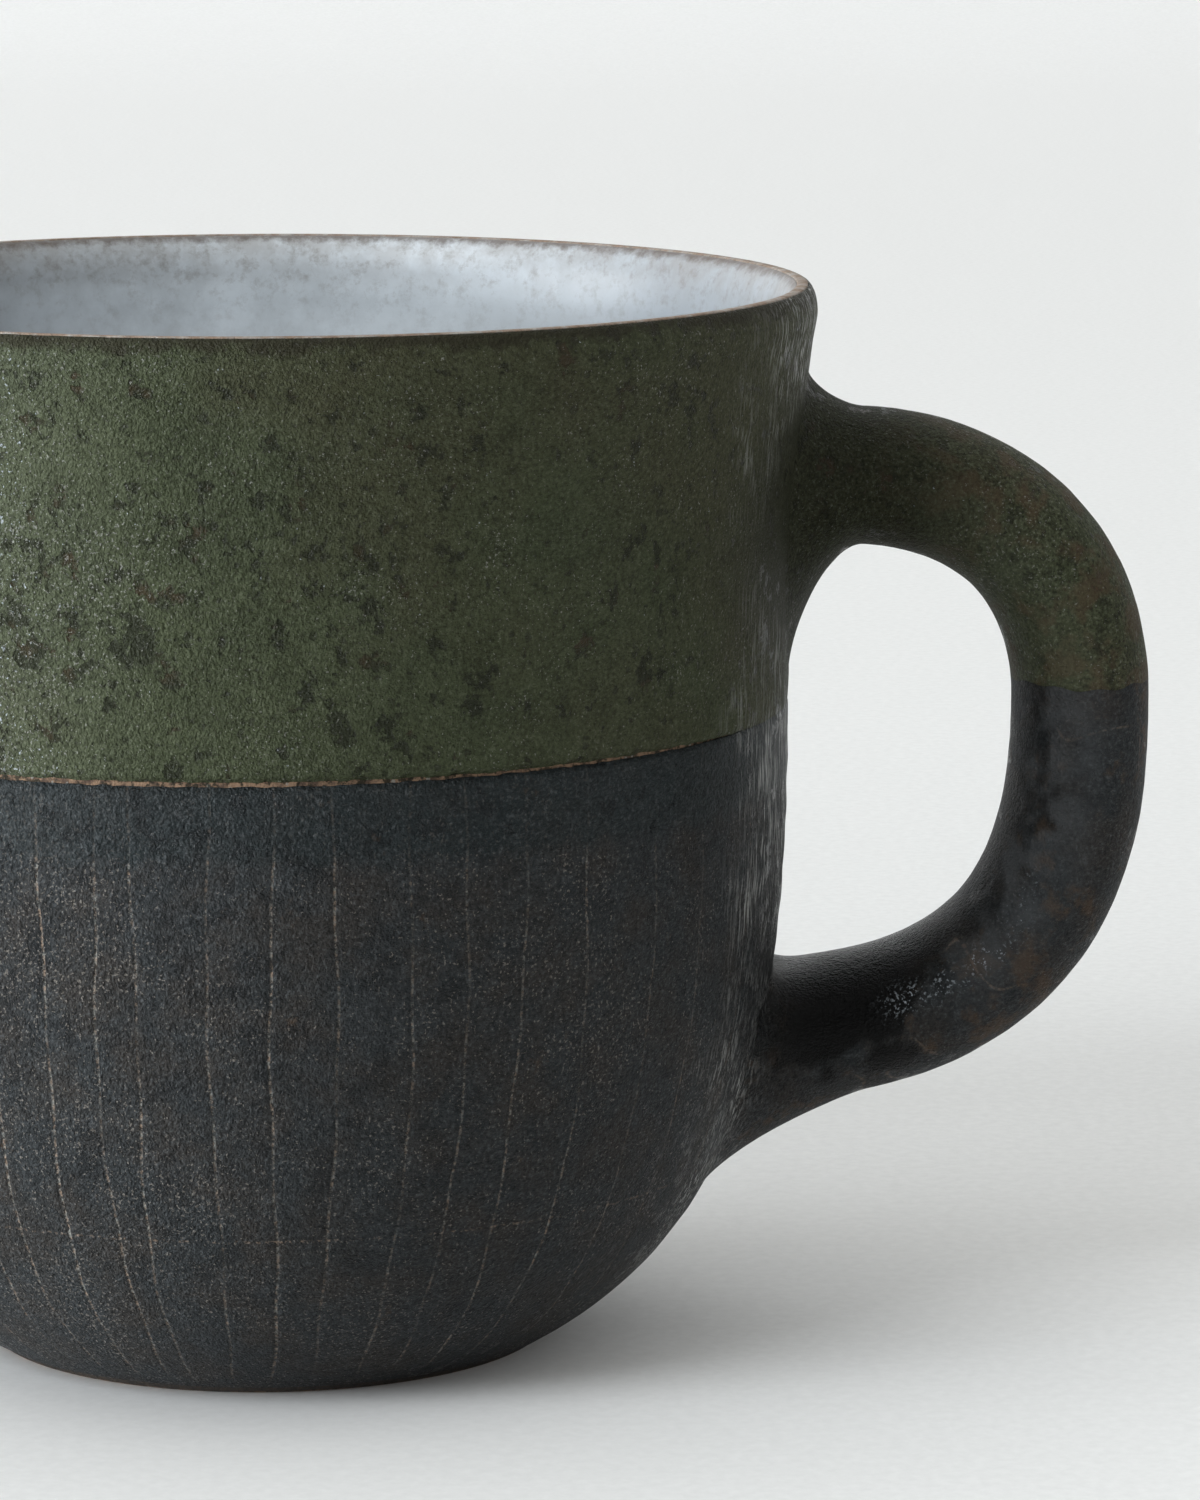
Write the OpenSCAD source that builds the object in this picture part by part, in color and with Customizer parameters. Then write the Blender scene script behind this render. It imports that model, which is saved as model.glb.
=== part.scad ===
// Hand-thrown stoneware mug with a pulled loop handle.
// The upper half wears a green glaze and the lower half a black slip, parted by a line of bare clay.
// Origin: centre of the foot, on the table. +Z is up and the handle points along +X.

/* [Body] */
// Height from the table to the rim
mug_h = 89.2; // [84:0.2:96]
// Radius of the rim at its crest
rim_r = 45; // [43:0.5:48]
// Radius of the widest point of the lip, just under the crest
lip_r = 46.2; // [44.5:0.1:49.5]
// Radius of the wall at the colour line
waist_r = 43.9; // [42:0.1:46]
// Radius of the foot where it meets the table
foot_r = 23.6; // [19:0.2:27]
// Thickness of the wall at mid height
wall = 3.4; // [2.6:0.1:4.5]
// Thickness of the lip just under its crest
lip_wall = 2.6; // [2.2:0.1:3.4]
// Thickness of the floor
floor_t = 5.2; // [4:0.1:8]

/* [Foot] */
// Width of the ring that touches the table
foot_ring_w = 5; // [3:0.5:8]
// Depth of the shallow hollow trimmed under the foot
foot_hollow = 1.2; // [0.6:0.1:2]

/* [Surface coats] */
// Height of the line where green meets black
seam_z = 54; // [50:0.5:58]
// Width of the line of bare clay between the two colours
bare_line = 0.4; // [0.2:0.1:1]
// Width of the bare clay along the crest of the rim
rim_line = 1; // [0.6:0.1:1.4]
// Height above the table at which the black slip stops
foot_bare = 0.8; // [0.5:0.1:2]
// Thickness of the green glaze and of the black slip
coat_t = 0.35; // [0.25:0.05:0.6]
// Thickness of the pale glaze inside
liner_t = 0.4; // [0.25:0.05:0.6]

/* [Handle] */
// Reach of the handle's centre line from the mug's axis
handle_reach = 69; // [66:0.5:73]
// Height of the handle's centre line at the upper join
upper_join_z = 71.2; // [69:0.2:74]
// Height of the handle's centre line at the lower join
lower_join_z = 26; // [24:0.2:28]
// Thickness of the handle in the plane of its loop, at the upper join
handle_top_t = 11; // [9:0.2:12]
// Thickness of the handle in the plane of its loop, at the lower join
handle_end_t = 12.4; // [10:0.2:13]
// Width of the handle across its loop
handle_w = 15; // [12:0.5:18]
// Thickness of the clay coils smoothed round the handle's two ends, where they begin
coil_t = 0.8; // [0.5:0.1:1.2]

/* [Hidden] */
$fn = 128;

curve_steps = 16;      // segments along each curve of the profile
ring_sides = 20;       // points round the handle
half_rings = 20;       // rings along each half of the handle, closest together at the joins
coil_rings = 8;        // rings at each end of the handle that a join coil covers
edge_fade = 1.6;       // length over which a coat thins out towards its edge
edge_share = 0.3;      // share of its thickness that a coat keeps at that edge

clay_colour = [0.50, 0.37, 0.28];
liner_colour = [0.72, 0.76, 0.79];
green_colour = [0.24, 0.29, 0.21];
black_colour = [0.13, 0.14, 0.15];

// Spread of the handle at each join as [rate, start, stop]: it grows with the square of the distance
// from start towards the wall as far as stop, on the loop's outer face, its inner face and its two sides
upper_spread = [[0.35, 48.6, 44.4], [0.33, 49, 44.4], [0.18, 48.5, 44.4]];
lower_spread = [[0.06, 48, 35], [0.1, 45, 42], [0.12, 47, 40]];

// ---- curves ----

function bezier(p, t) =
    pow(1 - t, 3) * p[0] + 3 * pow(1 - t, 2) * t * p[1] + 3 * (1 - t) * t * t * p[2] + pow(t, 3) * p[3];
function slope(p, t) =
    3 * (pow(1 - t, 2) * (p[1] - p[0]) + 2 * (1 - t) * t * (p[2] - p[1]) + t * t * (p[3] - p[2]));
function curve(p) = [for (k = [0:curve_steps]) bezier(p, k / curve_steps)];
function unit(v) = v / norm(v);
function left_of(v) = [-v.y, v.x];
function tail(list) = [for (k = [1:len(list) - 1]) list[k]];
function backwards(list) = [for (k = [len(list) - 1:-1:0]) list[k]];
function heading(list, k) = unit(list[min(k + 1, len(list) - 1)] - list[max(k - 1, 0)]);

// thickness of a coat at a distance from its thin edge
function faded(t, distance) = t * (edge_share + (1 - edge_share) * min(1, distance / edge_fade));

// underside of a coat whose face runs with the clay on its left and whose thin edge is at one point
function under(face, t, edge) =
    [for (k = [0:len(face) - 1]) face[k] + faded(t, norm(face[k] - edge)) * left_of(heading(face, k))];

// ---- profile of the body, as [radius, height] ----

rim_drop = rim_line / 8;
lip_low = [lip_r, mug_h - 2.8];
crest = [[rim_r + rim_line / 2, mug_h - rim_drop], [rim_r, mug_h], [rim_r - rim_line / 2, mug_h - rim_drop]];
foot_edge = [foot_r + 1.1, foot_bare];

// black half, from the foot up to the colour line
black_face = curve([foot_edge, [foot_r + 18.7, 11], [waist_r, seam_z - 23], [waist_r, seam_z - bare_line / 2]]);

// green half, up to the lip and round to the crest
green_wall = curve([[waist_r, seam_z + bare_line / 2], [waist_r, seam_z + 11],
                    [lip_r - 1.5, mug_h - 11], lip_low]);
lip_outside = curve([lip_low, lip_low + [0.2, 1.2], crest[0] + [0.45, -0.1], crest[0]]);
green_face = concat(green_wall, tail(lip_outside));

// pale liner, from the crest down to the middle of the floor
inner_r = waist_r - wall;
lip_inner = [rim_r - lip_wall + 0.7, mug_h - 3.2];
lip_inside = curve([crest[2], crest[2] + [-0.45, -0.1], lip_inner + [0.15, 1.6], lip_inner]);
inner_wall = curve([lip_inner, lip_inner - [0.9, 10], [inner_r, seam_z + 12], [inner_r, seam_z - 8]]);
inner_bowl = curve([[inner_r, seam_z - 8], [inner_r, floor_t + 16], [foot_r + 7, floor_t], [0, floor_t]]);
liner_face = concat(lip_inside, tail(inner_wall), tail(inner_bowl));

green_under = under(green_face, coat_t, crest[0]);
black_under = under(black_face, coat_t, foot_edge);
liner_under = concat([for (k = [0:len(liner_face) - 2]) under(liner_face, liner_t, crest[2])[k]],
                     [[0, floor_t - liner_t]]);

// ---- sweep of the handle, as [x, z] in the plane of its loop ----

upper_path = [[waist_r - 3, upper_join_z], [handle_reach - 11, upper_join_z + 4.4],
              [handle_reach, seam_z + 13], [handle_reach, seam_z]];
lower_path = [[handle_reach, seam_z], [handle_reach, seam_z - 15.4],
              [handle_reach - 5.7, lower_join_z - 2.2], [waist_r - 8, lower_join_z]];
last_ring = 2 * half_rings;

function on_upper(k) = k <= half_rings;
function along(k) = on_upper(k) ? 1 - cos(90 * k / half_rings) : sin(90 * (k - half_rings) / half_rings);
function centre(k) = bezier(on_upper(k) ? upper_path : lower_path, along(k));
function outwards(k) = left_of(unit(slope(on_upper(k) ? upper_path : lower_path, along(k))));
function spread(rule, x) = rule[0] * pow(max(0, rule[1] - max(x, rule[2])), 2);
function spread_at(k, side) = spread((on_upper(k) ? upper_spread : lower_spread)[side], centre(k).x);
function half_thickness(k) = (handle_top_t + (handle_end_t - handle_top_t) * k / last_ring) / 2;

// half sizes of the handle at one ring, as [towards the outside of the loop, towards its inside, sideways]
function glazed_size(k) =
    [half_thickness(k) + spread_at(k, 0), half_thickness(k) + spread_at(k, 1), handle_w / 2 + spread_at(k, 2)];
function clay_size(k) = [for (s = glazed_size(k)) s - coat_t];
function tenon_size(k) =
    [for (s = [half_thickness(k), half_thickness(k), handle_w / 2]) s - coat_t - coil_t];

// one ring of points round the centre line
function ring(k, size) =
    [for (j = [0:ring_sides - 1])
        let (a = 360 * j / ring_sides,
             reach = (cos(a) > 0 ? size[0] : size[1]) * cos(a),
             p = centre(k) + reach * outwards(k))
        [p.x, size[2] * sin(a), p.y]];
function glazed_rings(first, last) = [for (k = [first:last]) ring(k, glazed_size(k))];
function clay_rings(first, last) = [for (k = [first:last]) ring(k, clay_size(k))];
function tenon_rings(first, last) = [for (k = [first:last]) ring(k, tenon_size(k))];

// solid through a list of rings
module tube(rings) {
    n = ring_sides;
    m = len(rings);
    sides = [for (i = [0:m - 2], j = [0:n - 1])
                let (a = i * n + j, b = i * n + (j + 1) % n)
                each [[a, b, b + n], [a, b + n, a + n]]];
    start = [for (j = [n - 1:-1:0]) j];
    end = [for (j = [0:n - 1]) (m - 1) * n + j];
    polyhedron([for (r = rings, p = r) p], concat([start, end], sides), convexity = 6);
}

// full outer shapes of the body without its hollow, bare and with its coats
module clay_block() {
    rotate_extrude()
        polygon(concat([[0, 0], [foot_r, 0]], black_under, green_under, crest, [[0, mug_h - rim_drop]]));
}
module glazed_block() {
    rotate_extrude()
        polygon(concat([[0, 0], [foot_r, 0]], black_face, green_face, [[0, mug_h - rim_drop]]));
}

// ---- pieces ----

module thrown_body() {
    color(clay_colour)
        rotate_extrude()
            polygon(concat([[0, foot_hollow], [foot_r - foot_ring_w - 1, foot_hollow],
                            [foot_r - foot_ring_w, 0], [foot_r, 0]],
                           black_under, green_under, crest, liner_under));
}

// pulled loop, narrowed to a tenon at each end
module handle() {
    color(clay_colour)
        difference() {
            tube(concat(tenon_rings(0, coil_rings), clay_rings(coil_rings, last_ring - coil_rings),
                        tenon_rings(last_ring - coil_rings, last_ring)));
            clay_block();
        }
}

// soft clay smoothed round one tenon into the wall
module join_coil(first, last) {
    color(clay_colour)
        difference() {
            tube(clay_rings(first, last));
            tube(tenon_rings(first, last));
            clay_block();
        }
}
module upper_join_coil() {
    join_coil(0, coil_rings);
}
module lower_join_coil() {
    join_coil(last_ring - coil_rings, last_ring);
}

module liner_glaze() {
    color(liner_colour)
        rotate_extrude()
            polygon(concat(liner_face, backwards(liner_under)));
}

// coat on the wall, open where the handle's clay comes through it
module wall_coat(face, underside, first, last) {
    difference() {
        rotate_extrude()
            polygon(concat(face, backwards(underside)));
        tube(clay_rings(first, last));
    }
}
module green_glaze() {
    color(green_colour)
        wall_coat(green_face, green_under, 0, coil_rings);
}
module black_slip() {
    color(black_colour)
        wall_coat(black_face, black_under, last_ring - coil_rings, last_ring);
}

// coat on the handle, from one join to the colour line
module handle_coat(first, last) {
    difference() {
        tube(glazed_rings(first, last));
        tube(clay_rings(0, last_ring));
        glazed_block();
    }
}
module handle_green_glaze() {
    color(green_colour)
        handle_coat(0, half_rings);
}
module handle_black_slip() {
    color(black_colour)
        handle_coat(half_rings, last_ring);
}

thrown_body();
handle();
upper_join_coil();
lower_join_coil();
liner_glaze();
green_glaze();
black_slip();
handle_green_glaze();
handle_black_slip();
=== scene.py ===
"""Looks of a hand-thrown stoneware mug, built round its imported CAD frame.

Lengths are in metres. Azimuth 0 is the side that faces -Y and it grows towards +X, where the handle is.
"""
import math

import bmesh
import bpy
import numpy as np
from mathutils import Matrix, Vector, noise


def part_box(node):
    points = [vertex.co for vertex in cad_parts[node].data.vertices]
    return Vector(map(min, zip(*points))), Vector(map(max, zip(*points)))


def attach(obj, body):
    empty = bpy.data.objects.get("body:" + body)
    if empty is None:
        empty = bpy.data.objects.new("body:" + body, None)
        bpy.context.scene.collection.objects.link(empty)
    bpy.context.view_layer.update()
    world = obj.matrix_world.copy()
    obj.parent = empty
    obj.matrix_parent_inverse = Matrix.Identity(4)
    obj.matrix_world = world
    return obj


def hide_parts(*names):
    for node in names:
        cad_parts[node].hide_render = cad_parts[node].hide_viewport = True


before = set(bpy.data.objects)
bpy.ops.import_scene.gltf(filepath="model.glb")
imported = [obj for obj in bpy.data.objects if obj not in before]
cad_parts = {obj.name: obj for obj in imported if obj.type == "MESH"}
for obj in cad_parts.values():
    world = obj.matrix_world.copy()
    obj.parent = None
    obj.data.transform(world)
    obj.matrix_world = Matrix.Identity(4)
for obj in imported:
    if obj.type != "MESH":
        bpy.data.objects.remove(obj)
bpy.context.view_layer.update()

MM = 0.001
TURN = 2 * math.pi

# ---- sizes, read off the frame or repeated from the CAD ----

coat_t = 0.35 * MM
liner_t = 0.4 * MM
wall_t = 3.4 * MM
rim_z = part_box("thrown_body")[1].z
lip_r = -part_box("green_glaze")[0].x
seam_z = (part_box("green_glaze")[0].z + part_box("black_slip")[1].z) / 2
floor_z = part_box("liner_glaze")[0].z + liner_t
rim_r = lip_r - 1.2 * MM
waist_r = lip_r - 2.3 * MM
inner_r = waist_r - wall_t
foot_r = 23.6 * MM
foot_bare_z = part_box("black_slip")[0].z
foot_ring = 5 * MM
foot_hollow = 1.2 * MM
bare_line = 0.4 * MM
rim_line = 1.0 * MM
handle_top_t = 11 * MM
handle_end_t = 12.4 * MM
handle_half_t = 5.85 * MM
handle_w = 15 * MM
handle_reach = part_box("handle_black_slip")[1].x - handle_half_t
upper_join_z = 71.2 * MM
lower_join_z = 26 * MM

# ---- sizes that only the visual model has ----

tool_line_z = 16.5 * MM      # a turned line round the lower end of the black wall
coat_lap = 0.02 * MM         # how far a coat's underside sinks into the clay
rim_fade = 1.6 * MM          # length over which a coat thins towards the crest of the rim
foot_fade = 1.2 * MM         # the same towards the foot
thinnest = 0.3               # share of its thickness that a coat has left at its edge
floor_cap = 0.3 * MM         # radius of the small cap that closes the bowl's floor
scratch_half = 0.15 * MM     # half the width of a scratched line
upper_skirt_z = 72 * MM      # heights of the ovals where the two coils run out on the wall
lower_skirt_z = 25 * MM
upper_shade_z = 70 * MM      # heights round which painted shade darkens the wall beside the handle's roots
lower_shade_z = 34 * MM
upper_root_x = 50.5 * MM     # where the coils' skirts start on the handle
lower_root_x = 50.0 * MM
upper_tenon_x = 43.9 * MM    # where the handle's clay ends inside the coils
lower_tenon_x = 41 * MM
bead_t = 0.07 * MM           # how far the green coat swells above its lower edge
groove_t = 0.06 * MM         # depth of a scratched line
coil_cover = 0.8 * MM        # how far the handle's clay narrows where a coil covers it
handle_square = 0.94         # 1 makes the handle's section an ellipse and less makes it fuller

# ---- how fine the meshes are ----

EDGE = [0, 0.06 * MM, 0.15 * MM, 0.3 * MM, 0.5 * MM]     # distances of a coat's extra rows from its edge
WALL_COLUMNS = 480           # round the clay and the liner
GREEN_COLUMNS = 720          # round the green coat
PLAIN_COLUMNS = 8            # between two scratched lines of the black coat
BACK_SCRATCHES = 35          # scratched lines besides the front ones
HANDLE_COLUMNS = 128         # round the handle
ROOT_ROWS = 39               # along each coil's skirt


# ---- curves ----

def bezier(points, t):
    """Points of a cubic curve at the values t, one row each."""
    p = np.array(points, float)
    t = np.asarray(t, float)[:, None]
    return (1 - t) ** 3 * p[0] + 3 * (1 - t) ** 2 * t * p[1] + 3 * (1 - t) * t * t * p[2] + t ** 3 * p[3]


def smooth(t):
    """Eases 0..1 with no slope at either end."""
    t = np.clip(t, 0, 1)
    return t * t * (3 - 2 * t)


class Curve:
    """Bezier stretches joined into one line that is measured along its length."""

    def __init__(self, *stretches):
        self.stretches = stretches
        steps = np.linspace(0, 1, 200)
        parts = [bezier(s, steps) for s in stretches]
        self.points = np.vstack([parts[0]] + [p[1:] for p in parts[1:]])
        hops = np.linalg.norm(np.diff(self.points, axis=0), axis=1)
        self.marks = np.concatenate([[0], np.cumsum(hops)])
        self.length = self.marks[-1]

    def at(self, s):
        """Both coordinates at the lengths s."""
        return [np.interp(s, self.marks, self.points[:, i]) for i in (0, 1)]

    def left(self, s):
        """Unit direction to the left of the line at the lengths s."""
        step = 0.2 * MM
        (x0, y0), (x1, y1) = self.at(np.asarray(s) - step), self.at(np.asarray(s) + step)
        size = np.hypot(x1 - x0, y1 - y0)
        return [-(y1 - y0) / size, (x1 - x0) / size]

    def where(self, axis, value):
        """Length at which a coordinate that only grows or only falls reaches a value."""
        line = self.points[:, axis]
        order = np.argsort(line)
        return np.interp(value, line[order], self.marks[order])


# ---- profile of the body, as (radius, height) ----

drop = rim_line / 8
lip_low = (lip_r, rim_z - 2.8 * MM)
crest_out = (rim_r + rim_line / 2, rim_z - drop)
crest_in = (rim_r - rim_line / 2, rim_z - drop)
lip_in = (rim_r - 1.9 * MM, rim_z - 3.2 * MM)
bowl_side = (inner_r, seam_z - 8 * MM)

outside = Curve(
    [(foot_r + 1.1 * MM, foot_bare_z), (foot_r + 18.7 * MM, 11 * MM),
     (waist_r, seam_z - 23 * MM), (waist_r, seam_z)],
    [(waist_r, seam_z), (waist_r, seam_z + 11 * MM), (lip_r - 1.5 * MM, rim_z - 11 * MM), lip_low],
    [lip_low, (lip_r + 0.2 * MM, rim_z - 1.6 * MM),
     (crest_out[0] + 0.45 * MM, crest_out[1] - 0.1 * MM), crest_out],
)
inside = Curve(
    [crest_in, (crest_in[0] - 0.45 * MM, crest_in[1] - 0.1 * MM),
     (lip_in[0] + 0.15 * MM, lip_in[1] + 1.6 * MM), lip_in],
    [lip_in, (lip_in[0] - 0.9 * MM, lip_in[1] - 10 * MM), (inner_r, seam_z + 12 * MM), bowl_side],
    [bowl_side, (inner_r, floor_z + 16 * MM), (foot_r + 7 * MM, floor_z), (0.0, floor_z)],
)
seam_s = outside.where(1, seam_z)


# ---- hand-made unevenness ----

def waves(az, z, seed, count, around, height):
    """Sum of slow waves over azimuth and height, between about -1 and 1, that joins up round the mug."""
    rng = np.random.default_rng(seed)
    total = 0
    for _ in range(count):
        n = rng.integers(1, around + 1)
        total = total + np.sin(n * az + rng.uniform(-1, 1) * TURN * z / height + rng.uniform(0, TURN))
    return total / math.sqrt(count)


def wall_warp(az, z):
    """How far the wall stands out from a true circle: a little out of round, with faint throwing rings."""
    oval = 0.10 * MM * waves(az, z, 3, 4, 3, 150 * MM)
    rings = 0.022 * MM * np.sin(TURN * z / (3.7 * MM) + 0.8 * np.sin(az + 40 * z))
    rings = rings + 0.018 * MM * np.sin(TURN * z / (6.1 * MM) + np.sin(2 * az))
    return (oval + rings) * smooth(z / (12 * MM)) * smooth((rim_z + 2 * MM - z) / (12 * MM))


def grain(points, size, depth, octaves=3):
    """Fractal noise at each point of a grid, times depth, with lumps of about that size."""
    flat = points.reshape(-1, 3) / size
    values = np.array([noise.fractal(Vector(p), 1.0, 2.0, octaves) for p in flat])
    return depth * values.reshape(points.shape[:-1])


def seam_wave(az):
    """How far the colour line wanders up and down the wall: slowly, higher by the handle, and finely torn."""
    slow = 0.25 * waves(az, 0, 11, 3, 4, 1) + 0.55 * np.clip(np.sin(az) - 0.35, 0, 1)
    torn = 0.05 * waves(az, 0, 12, 8, 260, 1)
    return (slow + torn) * MM


# ---- meshes ----

def make_piece(name, points, faces, slot, nodes, material):
    """Closed mesh with its faces outwards, riding on the mug, for CAD nodes; the slot argument is not used.
    """
    mesh = bpy.data.meshes.new(name)
    mesh.from_pydata(points.tolist(), [], faces.tolist() if isinstance(faces, np.ndarray) else faces)
    work = bmesh.new()
    work.from_mesh(mesh)
    bmesh.ops.recalc_face_normals(work, faces=work.faces)
    if work.calc_volume(signed=True) < 0:
        bmesh.ops.reverse_faces(work, faces=work.faces)
    work.to_mesh(mesh)
    work.free()
    mesh.polygons.foreach_set("use_smooth", [True] * len(mesh.polygons))
    mesh.materials.append(material)
    piece = bpy.data.objects.new(name, mesh)
    bpy.context.scene.collection.objects.link(piece)
    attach(piece, "root")
    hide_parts(*nodes)
    return piece


def keep_values(piece, name, values):
    """Stores one number at each point, for the material to read."""
    layer = piece.data.attributes.new(name, "FLOAT", "POINT")
    layer.data.foreach_set("value", np.asarray(values, np.float32).ravel())


def full_turn(columns):
    """Angles of that many columns that go once round, in a row."""
    return np.linspace(0, TURN, columns, endpoint=False)[None, :]


def turned(r, z, az):
    """Points at those radii and heights, turned round the axis."""
    return np.stack([r * np.sin(az), -r * np.cos(az), z + 0 * az], axis=-1)


def quads(rows, columns, closed_rows):
    """Faces of a grid whose columns close on themselves, and whose rows do too if closed_rows."""
    i, j = np.meshgrid(np.arange(rows if closed_rows else rows - 1), np.arange(columns), indexing="ij")
    below, beside = (i + 1) % rows, (j + 1) % columns
    corners = [i * columns + j, i * columns + beside, below * columns + beside, below * columns + j]
    return np.stack(corners, axis=-1).reshape(-1, 4)


def ring_mesh(grid):
    """Points and faces of a grid that closes both ways, like a tyre."""
    rows, columns = grid.shape[:2]
    return grid.reshape(-1, 3), quads(rows, columns, True)


def capped_mesh(grid):
    """Points and faces of a tube that a middle point closes at each end."""
    rows, columns = grid.shape[:2]
    points = np.vstack([grid.reshape(-1, 3), grid[0].mean(0), grid[-1].mean(0)])
    faces = quads(rows, columns, False).tolist()
    last = (rows - 1) * columns
    for j in range(columns):
        k = (j + 1) % columns
        faces.append([rows * columns, k, j])
        faces.append([rows * columns + 1, last + j, last + k])
    return points, faces


def spun(curve, s, az, offset):
    """Points on a profile curve at lengths s, turned to azimuths az and moved by offset out from the clay."""
    r, z = curve.at(s)
    left_r, left_z = curve.left(s)
    return turned(r - left_r * offset, z - left_z * offset, az)


def lengths_between(low, high, count, edges):
    """Rows of lengths from low to high, with extra ones close to each end."""
    inset = edges[-1]
    middle = low + inset + (high - low - 2 * inset) * np.linspace(0, 1, count)[:, None]
    near_low = low + np.array(edges[:-1])[:, None]
    near_high = high - np.array(edges[-2::-1])[:, None]
    return np.vstack([near_low, middle, near_high])


def crowded(count, at):
    """Numbers from 0 to 1 in a column, closest together at one end: at is 0 or 1."""
    turn = np.linspace(0, math.pi / 2, count)[:, None]
    return np.sin(turn) if at == 1 else 1 - np.cos(turn)


def edge_fade(distance, reach, share):
    """Share of its thickness that a coat has at a distance from its edge."""
    return share + (1 - share) * smooth(distance / reach)


# ---- node materials ----

class Paint:
    """A material whose nodes are added in code, over the piece's own coordinates."""

    def __init__(self, name):
        self.material = bpy.data.materials.new(name)
        self.material.use_nodes = True
        self.nodes = self.material.node_tree.nodes
        self.links = self.material.node_tree.links
        self.nodes.clear()
        self.shader = self.nodes.new("ShaderNodeBsdfPrincipled")
        output = self.nodes.new("ShaderNodeOutputMaterial")
        self.links.new(self.shader.outputs[0], output.inputs[0])
        self.place = self.nodes.new("ShaderNodeTexCoord").outputs["Object"]

    def add(self, kind, outlet, inputs=(), **settings):
        """A node of that kind, with its settings and inputs, returned as the named outlet."""
        node = self.nodes.new("ShaderNode" + kind)
        for key, value in settings.items():
            setattr(node, key, value)
        for key, value in dict(inputs).items():
            self.put(value, node.inputs[key])
        return node.outputs[outlet]

    def put(self, value, socket):
        """Links a node's outlet to the socket, or sets the socket to a plain value."""
        if isinstance(value, bpy.types.NodeSocket):
            self.links.new(value, socket)
        else:
            socket.default_value = value

    def spot(self, place, shift):
        """The place, or the piece's own coordinates, moved aside so that patterns of one size differ."""
        place = place or self.place
        if not shift:
            return place
        return self.add("VectorMath", 0, {0: place, 1: (shift, 2 * shift, -shift)}, operation="ADD")

    def noise(self, size, detail=2.0, rough=0.5, place=None, shift=0.0):
        """Cloudy noise from 0 to 1 with lumps of about that size in metres."""
        inputs = {"Vector": self.spot(place, shift), "Scale": 1 / size, "Detail": detail, "Roughness": rough}
        return self.add("TexNoise", "Fac", inputs)

    def wobble(self, size, amount):
        """The piece's coordinates, pushed about by noise."""
        push = self.add("TexNoise", "Color", {"Vector": self.place, "Scale": 1 / size, "Detail": 3.0})
        push = self.add("VectorMath", 0, {0: push, 1: (0.5, 0.5, 0.5)}, operation="SUBTRACT")
        push = self.add("VectorMath", 0, {0: push, "Scale": amount}, operation="SCALE")
        return self.add("VectorMath", 0, {0: self.place, 1: push}, operation="ADD")

    def dots(self, pitch, radius, share, place=None, shift=0.0):
        """Round spots up to that radius, one to a cell of that pitch in a share of the cells."""
        cell = self.nodes.new("ShaderNodeTexVoronoi")
        self.put(self.spot(place, shift), cell.inputs["Vector"])
        cell.inputs["Scale"].default_value = 1 / pitch
        chance = self.add("SeparateColor", 0, {0: cell.outputs["Color"]})
        reach = self.ranged(chance, 1 - share, 1.0, 0.0, radius / pitch)
        gap = self.minus(reach, cell.outputs["Distance"])
        return self.ranged(gap, 0.0, 0.25 * radius / pitch, 0.0, 1.0)

    def ranged(self, value, low, high, new_low=0.0, new_high=1.0):
        """The value carried from low..high to another range and clamped there."""
        return self.add("MapRange", 0, {0: value, 1: low, 2: high, 3: new_low, 4: new_high})

    def math(self, what, a, b=0.0):
        """Blender's arithmetic on one or two values."""
        return self.add("Math", 0, {0: a, 1: b}, operation=what)

    def plus(self, a, b):
        """Sum of two values."""
        return self.math("ADD", a, b)

    def minus(self, a, b):
        """What is left of a value less another."""
        return self.math("SUBTRACT", a, b)

    def times(self, a, b):
        """Product of two values."""
        return self.math("MULTIPLY", a, b)

    def larger(self, a, b):
        """The larger of two values."""
        return self.math("MAXIMUM", a, b)

    def scaled(self, factors):
        """The piece's coordinates, each times its factor."""
        return self.add("VectorMath", 0, {0: self.place, 1: factors}, operation="MULTIPLY")

    def distance(self, place, point):
        """Distance between a place and a fixed point."""
        return self.add("VectorMath", "Value", {0: place, 1: point}, operation="DISTANCE")

    def coordinate(self, axis):
        """One of the piece's coordinates: 0 grows to the right, 1 to the back and 2 upwards."""
        return self.add("SeparateXYZ", axis, {0: self.place})

    def mix(self, a, b, share):
        """Colour a turning into colour b as share goes from 0 to 1."""
        node = self.nodes.new("ShaderNodeMix")
        node.data_type = "RGBA"
        self.put(share, node.inputs[0])
        self.put(rgba(a), node.inputs[6])
        self.put(rgba(b), node.inputs[7])
        return node.outputs[2]

    def mark(self, name):
        """A value stored on the piece's points."""
        return self.add("Attribute", "Fac", attribute_name=name)

    def bump(self, height, depth, under=None):
        """Relief of that depth in metres, over any relief already there."""
        inputs = {"Height": height, "Distance": depth, "Strength": 1.0}
        if under is not None:
            inputs["Normal"] = under
        return self.add("Bump", 0, inputs)

    def finish(self, colour, roughness, normal, specular=0.12):
        """Puts the looks into the shader and returns the material."""
        self.put(colour, self.shader.inputs["Base Color"])
        self.put(roughness, self.shader.inputs["Roughness"])
        self.put(normal, self.shader.inputs["Normal"])
        self.shader.inputs["Specular IOR Level"].default_value = specular
        return self.material


def rgba(colour):
    """A colour of three numbers with a fourth added; sockets pass through."""
    return (*colour, 1.0) if isinstance(colour, tuple) and len(colour) == 3 else colour


# ---- places of marks, and colours ----

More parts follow.
